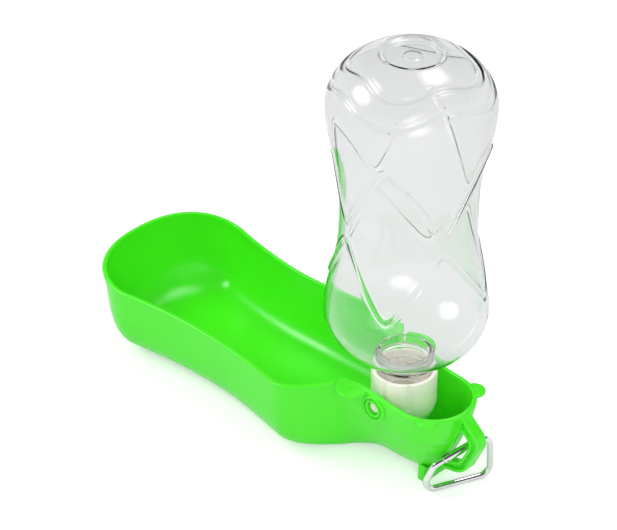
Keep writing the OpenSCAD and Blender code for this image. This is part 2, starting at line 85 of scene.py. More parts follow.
def shadeByAngle(mesh, angle=32):
    mesh.polygons.foreach_set("use_smooth", [True] * len(mesh.polygons))
    mesh.set_sharp_from_angle(angle=math.radians(angle))
    mesh.update()


def cleanMesh(mesh, gap):  # joins points closer than the gap, in metres, and turns the faces outwards
    bm = bmesh.new()
    bm.from_mesh(mesh)
    bmesh.ops.remove_doubles(bm, verts=bm.verts, dist=gap)
    bmesh.ops.recalc_face_normals(bm, faces=bm.faces)
    bm.to_mesh(mesh)
    bm.free()


def linked(name, data):
    piece = bpy.data.objects.new(name, data)
    bpy.context.scene.collection.objects.link(piece)
    return piece


def makePiece(name, points, faces, angle=32):
    mesh = bpy.data.meshes.new(name)
    mesh.from_pydata(((np.asarray(points, float) + pivot) / 1000).tolist(), [], faces)
    cleanMesh(mesh, 2e-6)
    shadeByAngle(mesh, angle)
    return linked(name, mesh)


def settle(piece, angle=32):  # turns the modifiers' result into the piece's own mesh
    bpy.context.view_layer.update()
    seen = piece.evaluated_get(bpy.context.evaluated_depsgraph_get())
    made = bpy.data.meshes.new_from_object(seen)
    old = piece.data
    piece.modifiers.clear()
    if piece.type == "MESH":
        piece.data = made
        made.name = piece.name
        bpy.data.meshes.remove(old)
    else:
        name = piece.name
        bpy.data.objects.remove(piece)
        piece = linked(name, made)
    shadeByAngle(piece.data, angle)
    return piece


def combine(piece, tool, how="UNION"):
    step = piece.modifiers.new("combine", "BOOLEAN")
    step.solver = "MANIFOLD"
    step.operation = how
    step.object = tool
    piece = settle(piece)
    bpy.data.objects.remove(tool)
    return piece


def carve(piece, tool):
    return combine(piece, tool, "DIFFERENCE")


def bevelled(piece, width, angle=40):
    step = piece.modifiers.new("bevel", "BEVEL")
    step.width = width / 1000
    step.segments = 3
    step.limit_method = "ANGLE"
    step.angle_limit = math.radians(angle)
    step.harden_normals = False
    return settle(piece)


def gridFaces(rows, columns, wrapRows=False):
    faces = []
    for j in range(rows if wrapRows else rows - 1):
        a, b = j * columns, ((j + 1) % rows) * columns
        for k in range(columns):
            m = (k + 1) % columns
            faces.append((a + k, a + m, b + m, b + k))
    return faces


def filleted(points, radii, steps=5, closed=True):  # rounds each corner of a flat outline
    made, n = [], len(points)
    for i, (here, r) in enumerate(zip(points, radii)):
        here = np.array(here, float)
        if r <= 0 or (not closed and i in (0, n - 1)):
            made.append(here)
            continue
        u, v = unit(np.array(points[i - 1]) - here), unit(np.array(points[(i + 1) % n]) - here)
        half = math.acos(np.clip(u @ v, -1, 1)) / 2
        centre = here + unit(u + v) * r / math.sin(half)
        start, end = here + u * r / math.tan(half) - centre, here + v * r / math.tan(half) - centre
        begin = math.atan2(start[1], start[0])
        side = 1 if start[0] * end[1] - start[1] * end[0] > 0 else -1
        sweep = side * (math.pi - 2 * half)
        for s in range(steps + 1):
            a = begin + sweep * s / steps
            made.append(centre + r * np.array([math.cos(a), math.sin(a)]))
    return np.array(made)


def axes(along):  # two directions across an axis, and the axis
    w = unit(along)
    side = np.array([1.0, 0, 0]) if abs(w[0]) < 0.9 else np.array([0, 1.0, 0])
    u = unit(side - w * (side @ w))
    return u, np.cross(w, u), w


def turnedPiece(name, profile, origin=(0, 0, 0), along=(0, 0, 1), steps=64, loop=False):
    # profile holds pairs of distance along the axis and radius; a loop is a ring's closed section
    u, v, w = axes(along)
    a = 2 * math.pi * np.arange(steps) / steps
    rounds = np.cos(a)[:, None] * u + np.sin(a)[:, None] * v
    points = np.concatenate([np.array(origin) + x * w + r * rounds for x, r in profile])
    return makePiece(name, points, gridFaces(len(profile), steps, loop))


def prism(name, levels, toPoint):  # stacked flat outlines with the same count of points
    n = len(levels[0][1])
    points = np.concatenate([[toPoint(p, h) for p in outline] for h, outline in levels])
    faces = gridFaces(len(levels), n)
    faces += [tuple(range(n)), tuple(range((len(levels) - 1) * n, len(levels) * n))]
    return makePiece(name, points, faces)


def addNode(tree, kind, wires=(), **settings):  # wires give each input a value or another node's output
    node = tree.nodes.new(kind)
    for key, value in settings.items():
        setattr(node, key, value)
    for socket, value in dict(wires).items():
        if isinstance(value, bpy.types.NodeSocket):
            tree.links.new(value, node.inputs[socket])
        else:
            node.inputs[socket].default_value = value
    return node


# Geometry Nodes


class NodeTree:  # a small builder for a tree with named inputs
    def __init__(self, name):
        self.tree = bpy.data.node_groups.new(name, "GeometryNodeTree")
        for way in ("INPUT", "OUTPUT"):
            self.tree.interface.new_socket("Geometry", in_out=way, socket_type="NodeSocketGeometry")
        self.source = self.tree.nodes.new("NodeGroupInput")
        self.ids = {}

    def size(self, name, kind="NodeSocketFloat"):
        item = self.tree.interface.new_socket(name, in_out="INPUT", socket_type=kind)
        self.ids[name] = item.identifier
        return self.source.outputs[name]

    def add(self, kind, wires=(), **settings):
        return addNode(self.tree, kind, wires, **settings)

    def sweep(self, curve, radius, sides):  # a round section along the curve
        ring = self.add("GeometryNodeCurvePrimitiveCircle", {"Resolution": sides, "Radius": radius})
        return self.add("GeometryNodeCurveToMesh", {"Curve": curve, "Profile Curve": ring.outputs[0],
                                                    "Fill Caps": True}).outputs[0]

    def close(self, geometry, material):
        real = self.add("GeometryNodeRealizeInstances", {"Geometry": geometry})
        paint = self.add("GeometryNodeSetMaterial", {"Geometry": real.outputs[0], "Material": material})
        self.add("NodeGroupOutput", {0: paint.outputs[0]})

    def runOn(self, piece, sizes, angle=32):
        step = piece.modifiers.new("rule", "NODES")
        step.node_group = self.tree
        for name, value in sizes.items():
            step[self.ids[name]] = value
        piece = settle(piece, angle)
        cleanMesh(piece.data, 1e-6)
        return piece


def coil(name, material, resolution, sizes, angle=32):  # a helix of round wire; its sizes are in metres
    rule = NodeTree("coilRule")
    turns, radius = rule.size("Turns"), rule.size("Coil radius")
    length, wire = rule.size("Length"), rule.size("Wire radius")
    place, turn = rule.size("Place", "NodeSocketVector"), rule.size("Turn", "NodeSocketRotation")
    spiral = rule.add("GeometryNodeCurveSpiral", {"Resolution": resolution, "Rotations": turns,
                                                  "Start Radius": radius, "End Radius": radius,
                                                  "Height": length})
    moved = rule.add("GeometryNodeTransform", {"Geometry": rule.sweep(spiral.outputs[0], wire, 10),
                                               "Translation": place, "Rotation": turn})
    rule.close(moved.outputs[0], material)
    return rule.runOn(linked(name, bpy.data.meshes.new(name)), sizes, angle)


# Materials


def newMaterial(name, **plain):
    made = bpy.data.materials.new(name)
    made.use_nodes = True
    shader = made.node_tree.nodes["Principled BSDF"]
    for key, value in plain.items():
        shader.inputs[key.replace("_", " ")].default_value = value
    return made, made.node_tree, shader


def noise(tree, scale, detail, stretch=(1, 1, 1)):
    place = addNode(tree, "ShaderNodeTexCoord").outputs["Object"]
    moved = addNode(tree, "ShaderNodeMapping", {"Vector": place, "Scale": stretch}).outputs[0]
    return addNode(tree, "ShaderNodeTexNoise", {"Vector": moved, "Scale": scale,
                                                "Detail": detail}).outputs["Fac"]


def ranged(tree, value, low, high, fromLow=0.3, fromHigh=0.7):
    return addNode(tree, "ShaderNodeMapRange", {"Value": value, "From Min": fromLow, "From Max": fromHigh,
                                                "To Min": low, "To Max": high}).outputs["Result"]


def blendColours(tree, share, one, two):
    tones = {0: share, 6: (*one, 1), 7: (*two, 1)}
    return addNode(tree, "ShaderNodeMix", tones, data_type="RGBA").outputs[2]


def blendLevels(tree, share, low, high):
    return addNode(tree, "ShaderNodeMix", {0: share, 2: low, 3: high}).outputs[0]


def calc(tree, operation, *values):
    return addNode(tree, "ShaderNodeMath", enumerate(values), operation=operation).outputs[0]


def bumps(tree, shader, layers):  # layers of (height, strength, distance in mm)
    last = None
    for height, strength, distance in layers:
        wires = {"Height": height, "Strength": strength, "Distance": distance / 1000}
        if last:
            wires["Normal"] = last
        last = addNode(tree, "ShaderNodeBump", wires).outputs["Normal"]
    tree.links.new(last, shader.inputs["Normal"])


def surface(name, look, **plain):  # two tones in clouds, an uneven gloss and a fine grain
    made, tree, shader = newMaterial(name, **plain)
    shade = ranged(tree, noise(tree, *look["clouds"]), 0, 1)
    tree.links.new(blendColours(tree, shade, *look["tones"]), shader.inputs["Base Color"])
    tree.links.new(ranged(tree, noise(tree, *look["patches"]), *look["rough"]), shader.inputs["Roughness"])
    bumps(tree, shader, [(noise(tree, scale, detail), *rest) for scale, detail, *rest in look["grain"]])
    return made


def greenPlastic():
    look = dict(clouds=(24, 3), tones=((0.068, 0.83, 0.012), (0.072, 0.86, 0.014)),
                patches=(140, 4), rough=(0.20, 0.26), grain=[(1600, 2, 0.08, 0.02), (18, 1, 0.04, 0.3)])
    return surface("greenPlastic", look)


def clearPlastic():  # the wall looks greyer where it is seen edge on
    look = dict(face=(0.915, 0.92, 0.92), edge=(0.80, 0.82, 0.83), haze=0.03, slant=0.35, clouds=0.06)
    made, tree, shader = newMaterial("clearPlastic", Transmission_Weight=1.0, IOR=1.5)
    facing = addNode(tree, "ShaderNodeLayerWeight", {"Blend": look["slant"]}).outputs["Facing"]
    slanted = ranged(tree, facing, -0.03, 1, 0.1, 1)
    share = calc(tree, "MULTIPLY_ADD", noise(tree, 40, 2), look["clouds"], slanted)
    tree.links.new(blendColours(tree, share, look["face"], look["edge"]), shader.inputs["Base Color"])
    tree.links.new(ranged(tree, noise(tree, 90, 3), 0.0, look["haze"]), shader.inputs["Roughness"])
    bumps(tree, shader, [(noise(tree, 25, 1, (1, 1, 0.4)), 0.03, 0.3)])
    return made


def ivoryPlastic():
    look = dict(clouds=(60, 3), tones=((0.86, 0.85, 0.73), (0.89, 0.88, 0.77)),
                patches=(200, 3), rough=(0.28, 0.4), grain=[(1500, 2, 0.15, 0.03), (120, 2, 0.1, 0.1)])
    return surface("ivoryPlastic", look, Subsurface_Weight=0.15, Subsurface_Scale=0.002)


def greyPlastic():
    look = dict(clouds=(90, 3), tones=((0.66, 0.65, 0.60), (0.72, 0.71, 0.66)),
                patches=(260, 3), rough=(0.35, 0.5), grain=[(1800, 2, 0.2, 0.03)])
    return surface("greyPlastic", look)


def whiteRubber():
    look = dict(clouds=(150, 4), tones=((0.70, 0.70, 0.67), (0.78, 0.78, 0.75)),
                patches=(300, 3), rough=(0.6, 0.75), grain=[(2500, 2, 0.3, 0.03)])
    return surface("whiteRubber", look)


def polishedAluminium():
    look = dict(clouds=(220, 4), tones=((0.80, 0.80, 0.82), (0.86, 0.86, 0.88)),
                patches=(400, 3), rough=(0.09, 0.15), grain=[(350, 2, 0.05, 0.03)])
    return surface("polishedAluminium", look, Metallic=1.0)


def pinSteel():
    look = dict(clouds=(700, 3), tones=((0.45, 0.45, 0.47), (0.58, 0.58, 0.60)),
                patches=(900, 3), rough=(0.22, 0.36), grain=[(3000, 2, 0.2, 0.01)])
    return surface("pinSteel", look, Metallic=1.0)


green, clear, ivory = greenPlastic(), clearPlastic(), ivoryPlastic()
grey, white, aluminium, steel = greyPlastic(), whiteRubber(), polishedAluminium(), pinSteel()
print("materials made")


def hand(piece, material, body, node):  # finishes a piece that takes a CAD node's place
    piece.data.materials.clear()
    piece.data.materials.append(material)
    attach(piece, body)
    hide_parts(node)
    print(piece.name, len(piece.data.vertices), "vertices")


# Camera, placed in metres and turned in degrees

view = dict(at=(0.62104, -0.66317, 0.70236), turn=(55.9206, 0, 44.2708), lens=145.06, sensor=36.0)
camera = linked("camera", bpy.data.cameras.new("camera"))
camera.location = view["at"]
camera.rotation_euler = np.radians(view["turn"])
camera.data.lens = view["lens"]
camera.data.sensor_width = view["sensor"]
camera.data.clip_start, camera.data.clip_end = 0.05, 20
bpy.context.scene.camera = camera

# Tray: tipAt to channelAt lie towards the bowl from the fold axis, endAt and reach on its other side

tray = dict(tipAt=175.0, bowlAt=144.0, waistAt=95.5, shoulderAt=43.0, channelAt=19.5, endAt=17.1, reach=36.8,
            bowlR=39.9, waistR=33.9, shoulderR=39.6, channelR=19.7, earTop=7.0,
            planPower=2.3, waistPower=1.84, shoulderPower=1.8,
            padDepth=37.513, bowlDepth=35.021, channelDepth=33.013, padFrom=24.5, bowlRun=40.0, padRun=20.0,
            squareTip=3.4, squareBowl=5.0, squareChannel=2.2, squareEnd=1.5,
            wall=1.6, lip=0.6, lipDepth=7.0, edge=0.45, outerEdge=1.1,
            draft=0.04, tipDraft=0.09, draftRun=25.0,
            tipStep=0.25, tipUnder=0.7, stepFrom=4.0, stepRun=22.0, stepTop=0.22, stepEase=0.6,
            crease=0.035, creaseZ=-10.5, creaseSoft=1.2, creaseFrom=-20.0, creaseRun=12.0,
            spacing=1.25, soften=1.5, rimSoften=3, wallRows=26, floorRows=6, edgeRows=6)
rimTop = tray["earTop"]
rimKnots = [(-176, 7.2), (-165, 5.0), (-146, 2.0), (-95, 0.8), (-44, 1.8), (-36, 2.3), (-30, 3.0),
            (-24, 4.0), (-20, 4.6), (-17, 5.3), (-14, 6.4), (-11, 7.1), (-7, 7.3), (-3, 7.1), (3.5, 6.4),
            (13.5, 5.5), (20, 5.5), (37, 5.7)]  # height of the rim along the tray


def trayOutline():  # the rim from above, at even steps
    t = tray
    turn = np.radians(np.linspace(0, 90, 200))
    tip = [-t["bowlAt"] - (t["tipAt"] - t["bowlAt"]) * np.cos(turn) ** (2 / t["planPower"]),
           t["bowlR"] * np.sin(turn) ** (2 / t["planPower"])]
    parts = [tip]
    for farX, farR, x in ((t["bowlAt"], t["bowlR"], np.linspace(-t["bowlAt"], -t["waistAt"], 80)),
                          (t["shoulderAt"], t["shoulderR"],
                           np.linspace(-t["waistAt"], -t["shoulderAt"], 80))):
        share = np.abs((x + t["waistAt"]) / (t["waistAt"] - farX)) ** t["waistPower"]
        parts.append([x, t["waistR"] + (farR - t["waistR"]) * share])
    share = np.linspace(0, 1, 80)
    parts.append([mix(-t["shoulderAt"], -t["channelAt"], share),
                  mix(t["shoulderR"], t["channelR"], share ** t["shoulderPower"])])
    parts.append([np.linspace(-t["channelAt"], t["endAt"], 60), np.full(60, t["channelR"])])
    parts.append([t["endAt"] + t["channelR"] * np.sin(turn), t["channelR"] * np.cos(turn)])
    half = np.concatenate([np.array(p).T for p in parts])
    whole = np.concatenate([half, half[-2:0:-1] * [1, -1], half[:1]])  # on round the far side
    run = runAlong(whole)
    count = 2 * int(run[-1] / t["spacing"] / 2)
    even = np.array([np.interp(np.arange(count) * run[-1] / count, run, whole[:, i]) for i in (0, 1)]).T
    reach = int(4 * t["soften"] / t["spacing"])
    weights = bell(reach, t["soften"] / t["spacing"])
    return sum(w * np.roll(even, s, axis=0) for w, s in zip(weights, range(-reach, reach + 1)))


def offsetInwards(outline, d):
    along = np.roll(outline, -1, axis=0) - np.roll(outline, 1, axis=0)
    along /= np.linalg.norm(along, axis=1, keepdims=True)
    return outline + np.reshape(d, (-1, 1)) * np.c_[along[:, 1], -along[:, 0]]


def rimHeight(x):
    along = np.arange(-220, 80, 1.0)
    reach = 3 * tray["rimSoften"]
    level = np.pad(np.interp(along, *np.transpose(rimKnots)), reach, mode="edge")
    return np.interp(x, along, np.convolve(level, bell(reach, tray["rimSoften"]), "valid"))


def floorHeight(x):  # deepest between the shoulder and the channel
    t = tray
    bowl = -mix(t["padDepth"], t["bowlDepth"], smooth((-t["shoulderAt"] - x) / t["bowlRun"]))
    channel = -mix(t["padDepth"], t["channelDepth"], smooth((x + t["padFrom"]) / t["padRun"]))
    return np.where(x < -t["shoulderAt"], bowl, channel)


def squareness(x):  # the power of the section's curve: 2 is an ellipse, more is squarer
    t = tray
    tip = mix(t["squareTip"], t["squareBowl"], smooth((x + t["tipAt"]) / (t["tipAt"] - t["bowlAt"])))
    throat = mix(t["squareBowl"], t["squareChannel"], smooth((x + t["shoulderAt"]) / t["shoulderAt"]))
    end = mix(t["squareChannel"], t["squareEnd"], smooth(x / t["reach"]))
    body = np.where(x < -t["shoulderAt"], t["squareBowl"], np.where(x < 0, throat, end))
    return np.where(x < -t["bowlAt"], tip, body)


def sectionShares(power):  # share of the half width down the wall, at even steps, then to the middle
    t = tray
    turn = np.radians(80 * np.linspace(0, 1, 500) ** 3)
    u = np.cos(turn) ** (2 / power)
    d = np.clip(1 - u ** power, 0, 1) ** (1 / power)
    run = runAlong(np.c_[u * 33, d * 40])  # a middling half width and depth of the tray
    u = np.interp(np.linspace(t["outerEdge"], run[-1], t["wallRows"]), run, u)
    return np.concatenate([u, u[-1] * (1 - np.arange(1, t["floorRows"] + 1) / t["floorRows"])])


def trayShell():
    t = tray
    outer = trayOutline()
    n = squareness(outer[:, 0])
    shares = np.array([sectionShares(p) for p in n])
    rim = rimHeight(outer[:, 0])

    def skinRow(p, j, lift):  # a row of the outside, or of the inside with lift as the floor's thickness
        u = shares[:, j]
        d = np.clip(1 - u ** n, 0, 1) ** (1 / n)
        past = -p[:, 0] - t["bowlAt"]
        k = u * (1 - mix(t["draft"], t["tipDraft"], smooth(past / t["draftRun"])) * d)
        step = smooth((past - t["stepFrom"]) / t["stepRun"]) * smooth(d / t["stepTop"])
        step *= 1 - t["stepEase"] * smooth((d - 0.2) / 0.8)
        inwards = t["tipStep"] + (0 if lift else t["tipUnder"])
        k = k * (1 - step * inwards / (t["tipAt"] - t["bowlAt"]))
        s = np.clip(p[:, 0], -t["bowlAt"], t["endAt"])
        x = s + (p[:, 0] - s) * k
        z = mix(rim, floorHeight(x) + lift, d)
        low = smooth((t["creaseZ"] - z) / t["creaseSoft"])
        drawn = 1 - t["crease"] * low * smooth((x - t["creaseFrom"]) / t["creaseRun"])
        x, k = s + (x - s) * drawn, k * drawn
        return np.c_[x, p[:, 1] * k, z if lift else np.maximum(z, -pivot[2])]

    count = shares.shape[1]
    rows = [skinRow(outer, j, 0) for j in range(count - 1, -1, -1)]
    turns = np.radians(np.linspace(10, 90, t["edgeRows"]))
    for edge, inner, angles in ((t["outerEdge"], False, turns), (t["edge"], True, turns[::-1])):
        for a in angles:
            o = edge * (1 - math.cos(a))
            flat = offsetInwards(outer, t["wall"] + t["lip"] - o if inner else o)
            rows.append(np.c_[flat, rim - edge * (1 - math.sin(a))])
    for j in range(count):  # the wall is a little thicker at its rim
        deep = (1 - shares[:, j] ** n) ** (1 / n) * t["padDepth"]
        thick = t["wall"] + t["lip"] * (1 - smooth(deep / t["lipDepth"]))
        rows.append(skinRow(offsetInwards(outer, thick), j, t["wall"]))
    return outer, makePiece("tray_shell", np.concatenate(rows), gridFaces(len(rows), len(outer)))


outer, trayPiece = trayShell()
print("tray shell", len(trayPiece.data.vertices))

boss = dict(inside=15.15, wallY=18.0, insideD=9.4, face=20.75, d=13.0, ring=9.4, ringWidth=0.9,
            ringDepth=1.2, bore=6.2, chamfer=0.3)
ears = dict(sideX=-11.5, sideY=21.6, sideD=14.6, sideTop=6.9, endD=9.8, endAngle=56, endTop=5.9, endIn=0.7,
            t=1.5, dimple=0.8, dimpleDepth=0.5, inset=0.9)
heel = dict(x=16.55, l=4.5, w=16.0)
loop = dict(low=11.5 - pivot[2], reach=46.5, band=6.3, lowBand=4.0, width=6.0, flange=1.6, web=1.4,
            strip=0.7, round=0.5, recessRound=0.35, webRound=0.6, innerHalf=2.0, turnIn=7.8, eyeIn=5.4,
            cornerZ=-4.9, eyeTop=-4.0, eyeCornerZ=-8.6, slope=0.21, eyeSlope=0.225)


def bossPiece(side):  # with a ring groove in its face
    b = boss
    ringOut, ringIn = (b["ring"] + b["ringWidth"]) / 2, (b["ring"] - b["ringWidth"]) / 2
    sunk = b["face"] - b["ringDepth"]
    corners = [(b["inside"], 0), (b["inside"], b["insideD"] / 2), (b["wallY"], b["insideD"] / 2),
               (b["wallY"], b["d"] / 2), (b["face"], b["d"] / 2), (b["face"], ringOut), (sunk, ringOut),
               (sunk, ringIn), (b["face"], ringIn), (b["face"], 0)]
    profile = filleted(corners, [0, 0.4, 0, 0, 1.1, 0.15, 0.15, 0.15, 0.15, 0], closed=False)
    return turnedPiece("boss", profile, along=(0, side, 0), steps=96)


def borePiece(side):  # what is cut out for the cap's trunnion, with a chamfer at both ends
    b = boss
    r, c = b["bore"] / 2, b["chamfer"]
    profile = [(b["inside"] - 1, 0), (b["inside"] - 1, r + c), (b["inside"], r + c), (b["inside"] + c, r),
               (b["face"] - c, r), (b["face"], r + c), (b["face"] + 1, r + c), (b["face"] + 1, 0)]
    return turnedPiece("bore", profile, along=(0, side, 0))


def earPiece(x, y, d, top):  # a round tab with a dimple
    e = ears
    low, sunk = top - e["t"], top - e["dimpleDepth"]
    corners = [(low, 0), (low, d / 2), (top, d / 2), (top, e["dimple"]), (sunk, e["dimple"] - 0.2),
               (sunk, 0)]
    profile = filleted(corners, [0, 0.5, 0.6, 0.2, 0.15, 0], 4, closed=False)
    return turnedPiece("ear", profile, origin=(x, y, 0), steps=72)


def insideOfRim():  # the space that the ears are cut back from
    edge = offsetInwards(outer, tray["wall"] - ears["inset"])
    return prism("inside", [(rimTop - 6, edge), (rimTop + 4, edge)], lambda p, h: (p[0], p[1], h))


def heelPiece():  # the foot under the channel's end, which reaches into the tray's wall
    h = heel
    n = float(squareness(h["x"]))
    deep = rimTop + tray["channelDepth"]
    y = np.linspace(h["w"] / 2, -h["w"] / 2, 13)
    u = np.abs(y) / (tray["channelR"] * (1 - tray["draft"]))
    top = rimTop - deep * (1 - u ** n) ** (1 / n) + tray["wall"] / 2
    outline = [(-h["w"] / 2, -pivot[2]), (h["w"] / 2, -pivot[2])] + list(zip(y, top))
    piece = prism("heel", [(h["x"], outline), (h["x"] + h["l"], outline)], lambda p, x: (x, p[0], p[1]))
    return bevelled(piece, 0.5, 50)


def moved(corners, d):  # a clockwise outline's corners moved inwards
    made = []
    for i, p in enumerate(corners):
        p, a, b = np.array(p), np.array(corners[i - 1]), np.array(corners[(i + 1) % len(corners)])
        before, after = unit(p - a), unit(b - p)
        before, after = np.array([before[1], -before[0]]), np.array([after[1], -after[0]])
        made.append(p + d * (before + after) / (1 + before @ after))
    return made


def plate(name, corners, radii, levels):  # an upright plate; levels of (height, how far inwards)
    stack = [(h, filleted(moved(corners, d), [max(r - d, 0.3) if r else 0 for r in radii], 8))
             for h, d in levels]
    return prism(name, stack, lambda p, h: (p[0], h, p[1]))


def rounding(h, r):  # levels of a rounded edge that ends at height h
    turns = np.radians(np.linspace(0, 90, 6))
    return [(h - r * (1 - math.sin(a)), r * (1 - math.cos(a))) for a in turns]


def mirrored(levels):
    return [(-h, d) for h, d in reversed(levels)] + levels


def behindEndWall(shift):  # what lies on the tray's side of the channel's end wall
    t, square = tray, tray["squareEnd"]
    z = np.linspace(rimTop, -t["channelDepth"] + 4, 24)
    d = (rimTop - z) / (rimTop + t["channelDepth"])
    wallX = t["endAt"] + t["channelR"] * (1 - d ** square) ** (1 / square) * (1 - t["draft"] * d)
    outline = [(-5, rimTop + 6), (wallX[0] + shift, rimTop + 6)] + list(zip(wallX + shift, z)) + [
        (wallX[-1] + shift - 3, z[-1] - 3), (wallX[-1] + shift - 3, -60), (-5, -60)]
    return prism("behind", [(-12, outline), (12, outline)], lambda p, h: (p[0], h, p[1]))


def loopRecess(side, outside, eye):  # the hollow on one side of the loop, round its eye
    s = loop
    half, web, small = s["width"] / 2, s["web"] / 2, s["recessRound"]
    floor = [(web + s["webRound"] * (1 - math.cos(a)), s["webRound"] * (1 - math.sin(a)))
             for a in np.radians(np.linspace(0, 90, 5))]
    top = [(h, -d) for h, d in rounding(half, small)] + [(half + 1, -1 - small)]
    levels = [(side * h, d) for h, d in floor + top]
    recess = plate("recess", moved(outside, s["flange"]), [0, 1, 5, 9, 0], levels)
    levels = [(web - 1, -s["webRound"])] + [(h, -d) for h, d in floor] + rounding(s["innerHalf"], small)
    core = plate("core", moved(eye, -s["flange"]), [0, 2.5, 6, 7.5, 0], [(side * h, d) for h, d in levels])
    recess = carve(recess, core)
    return carve(recess, behindEndWall(s["strip"]))


def loopPiece():  # a bar of I section bent round an open eye
    s, t = loop, tray
    low, reach, rootX = s["low"], s["reach"], t["endAt"] + 3
    turnX, eyeX = reach - s["turnIn"], reach - s["band"] - s["eyeIn"]
    outside = [(rootX, rimTop - 1), (t["reach"] - 0.8, rimTop - 1.6), (reach + 1.5, s["cornerZ"]),
               (turnX, low), (rootX, low - s["slope"] * (turnX - rootX))]
    eyeLow = low + s["lowBand"]
    eye = [(rootX, s["eyeTop"]), (t["reach"] - 0.5, s["eyeTop"]), (reach - s["band"] + 1, s["eyeCornerZ"]),
           (eyeX, eyeLow), (rootX, eyeLow - s["eyeSlope"] * (eyeX - rootX))]
    half, r = s["width"] / 2, s["round"]
    body = plate("loop", outside, [0, 2.5, 7, 11, 0], mirrored(rounding(half, r)))
    flare = [(h, -d) for h, d in rounding(s["innerHalf"], r)] + [(half + 1, -r - 0.2)]
    cut = plate("eye", eye, [0, 1.5, 4.5, 6, 0], mirrored(flare))
    body = carve(body, carve(cut, behindEndWall(0.2)))
    for side in (-1, 1):
        body = carve(body, loopRecess(side, outside, eye))
    return carve(body, behindEndWall(-t["wall"] / 2))


def finishTray(piece):  # ears, bosses, heel and loop join the shell, then the bores are cut
    e = ears
    a, r = math.radians(e["endAngle"]), tray["channelR"] - e["endIn"]
    for side in (-1, 1):
        for x, y, d, top in ((e["sideX"], e["sideY"], e["sideD"], e["sideTop"]),
                             (tray["endAt"] + r * math.cos(a), r * math.sin(a), e["endD"], e["endTop"])):
            piece = combine(piece, carve(earPiece(x, side * y, d, top), insideOfRim()))
    for part in (bossPiece(-1), bossPiece(1), heelPiece(), loopPiece()):
        piece = combine(piece, part)
    for side in (-1, 1):
        piece = carve(piece, borePiece(side))
    return piece


trayPiece = finishTray(trayPiece)
trayPiece.name = "drinking_tray"
hand(trayPiece, green, "tray", "tray")

# Bottle: heights are above the fold axis

bottle = dict(r=36.0, waistR=29.8, waistPower=1.6, lowBulge=44.5, topBulge=146.5, shoulderH=25.0, domeH=26.5,
              ringR=15.0, discR=12.2, discZ=169.09, endZ=170.59, nubR=4.2, nubH=0.8, neckR=12.4, boreR=10.8,
              neckTo=19.0, mouthZ=-0.4, mouthHalf=0.8, collarR=13.7, collarZ=14.7, collarT=1.8, wall=0.9,
              thread=0.35, threadHalf=0.55, threadFrom=1.2, threadTo=10.5, threadFade=1.5, pitch=3.2,
              columns=256, fineBase=18.0, fineSteps=6000, softReach=26, softWidth=9, sharpness=0.955)
ridges = [  # middle height, rise, turn in degrees, kind, height, half width
    dict(z=73.5, rise=15.0, turn=162, kind="zigzag", h=0.75, w=1.2),
    dict(z=115.25, rise=16.75, turn=-18, kind="zigzag", h=0.75, w=1.2),
    dict(z=156.2, rise=2.7, turn=170, kind="wave", h=-0.75, w=1.4),
    dict(z=164.1, rise=1.7, turn=162, kind="wave", h=-0.75, w=1.4)]
around = 2 * math.pi * np.arange(bottle["columns"]) / bottle["columns"]


def ridgeLine(ridge):  # height of the ridge's middle, four times up and down round the bottle
    swing, sharp = np.sin(4 * around + math.radians(ridge["turn"])), bottle["sharpness"]
    if ridge["kind"] == "zigzag":
        swing = np.arcsin(sharp * swing) / math.asin(sharp)
    return ridge["z"] + ridge["rise"] * swing


def waistLine(z, shrink):
    b = bottle
    share = (1 + np.cos(2 * math.pi * (z - b["lowBulge"]) / (b["topBulge"] - b["lowBulge"]))) / 2
    return mix(b["waistR"], b["r"], share ** b["waistPower"]) - shrink


def bodyProfile(shrink):  # from the neck to the standing ring, as height and radius
    b = bottle
    r, low, high = b["r"] - shrink, b["shoulderH"] - shrink, b["domeH"] - shrink
    a = np.linspace(math.acos((b["boreR"] if shrink else b["neckR"]) / r), 0, 60)
    z = np.linspace(b["lowBulge"], b["topBulge"], 200)
    c = np.linspace(0, math.acos((b["ringR"] - shrink) / r), 60)
    return np.concatenate([np.c_[b["lowBulge"] - low * np.sin(a), r * np.cos(a)][:-1],
                           np.c_[z, waistLine(z, shrink)][:-1],
                           np.c_[b["topBulge"] + high * np.sin(c), r * np.cos(c)]])


def softOutline(shrink, neck, base):
    # distances along the outline, its height and radius and outward direction there, the body's two ends
    b = bottle
    path = np.concatenate([neck, bodyProfile(shrink), base])
    steps = np.linalg.norm(np.diff(path, axis=0), axis=1)
    path = path[np.concatenate([[True], steps > 1e-6])]
    run = runAlong(path)
    fine = np.linspace(0, run[-1], b["fineSteps"])
    weights = bell(b["softReach"], b["softWidth"])
    line = []
    for values in path.T:  # heights, then radii
        padded = np.pad(np.interp(fine, run, values), b["softReach"], mode="edge")
        line.append(np.convolve(padded, weights, "valid"))
    line = np.transpose(line)
    line[-1, 1] = 0
    slope = np.gradient(line, axis=0)
    slope /= np.linalg.norm(slope, axis=1, keepdims=True)
    outward = np.c_[-slope[:, 1], slope[:, 0]]
    return fine, line, outward, run[len(neck)], run[-1] - runAlong(base)[-1]


def ridgePlaces(fine, line, rising):  # where each ridge's middle lies, and how much its slant widens it
    places = []
    for ridge in ridges:
        middle = np.interp(ridgeLine(ridge), line[rising, 0], fine[rising])
        radius = np.interp(middle, fine, line[:, 1])
        change = np.gradient(np.concatenate([middle[-1:], middle, middle[:1]]))[1:-1]
        spread = np.sqrt(1 + (change / (radius * 2 * math.pi / len(around))) ** 2)
        for again in range(6):  # even out the change at the corners
            spread = (np.roll(spread, 1) + 2 * spread + np.roll(spread, -1)) / 4
        places.append((middle, spread, ridge))
    return places


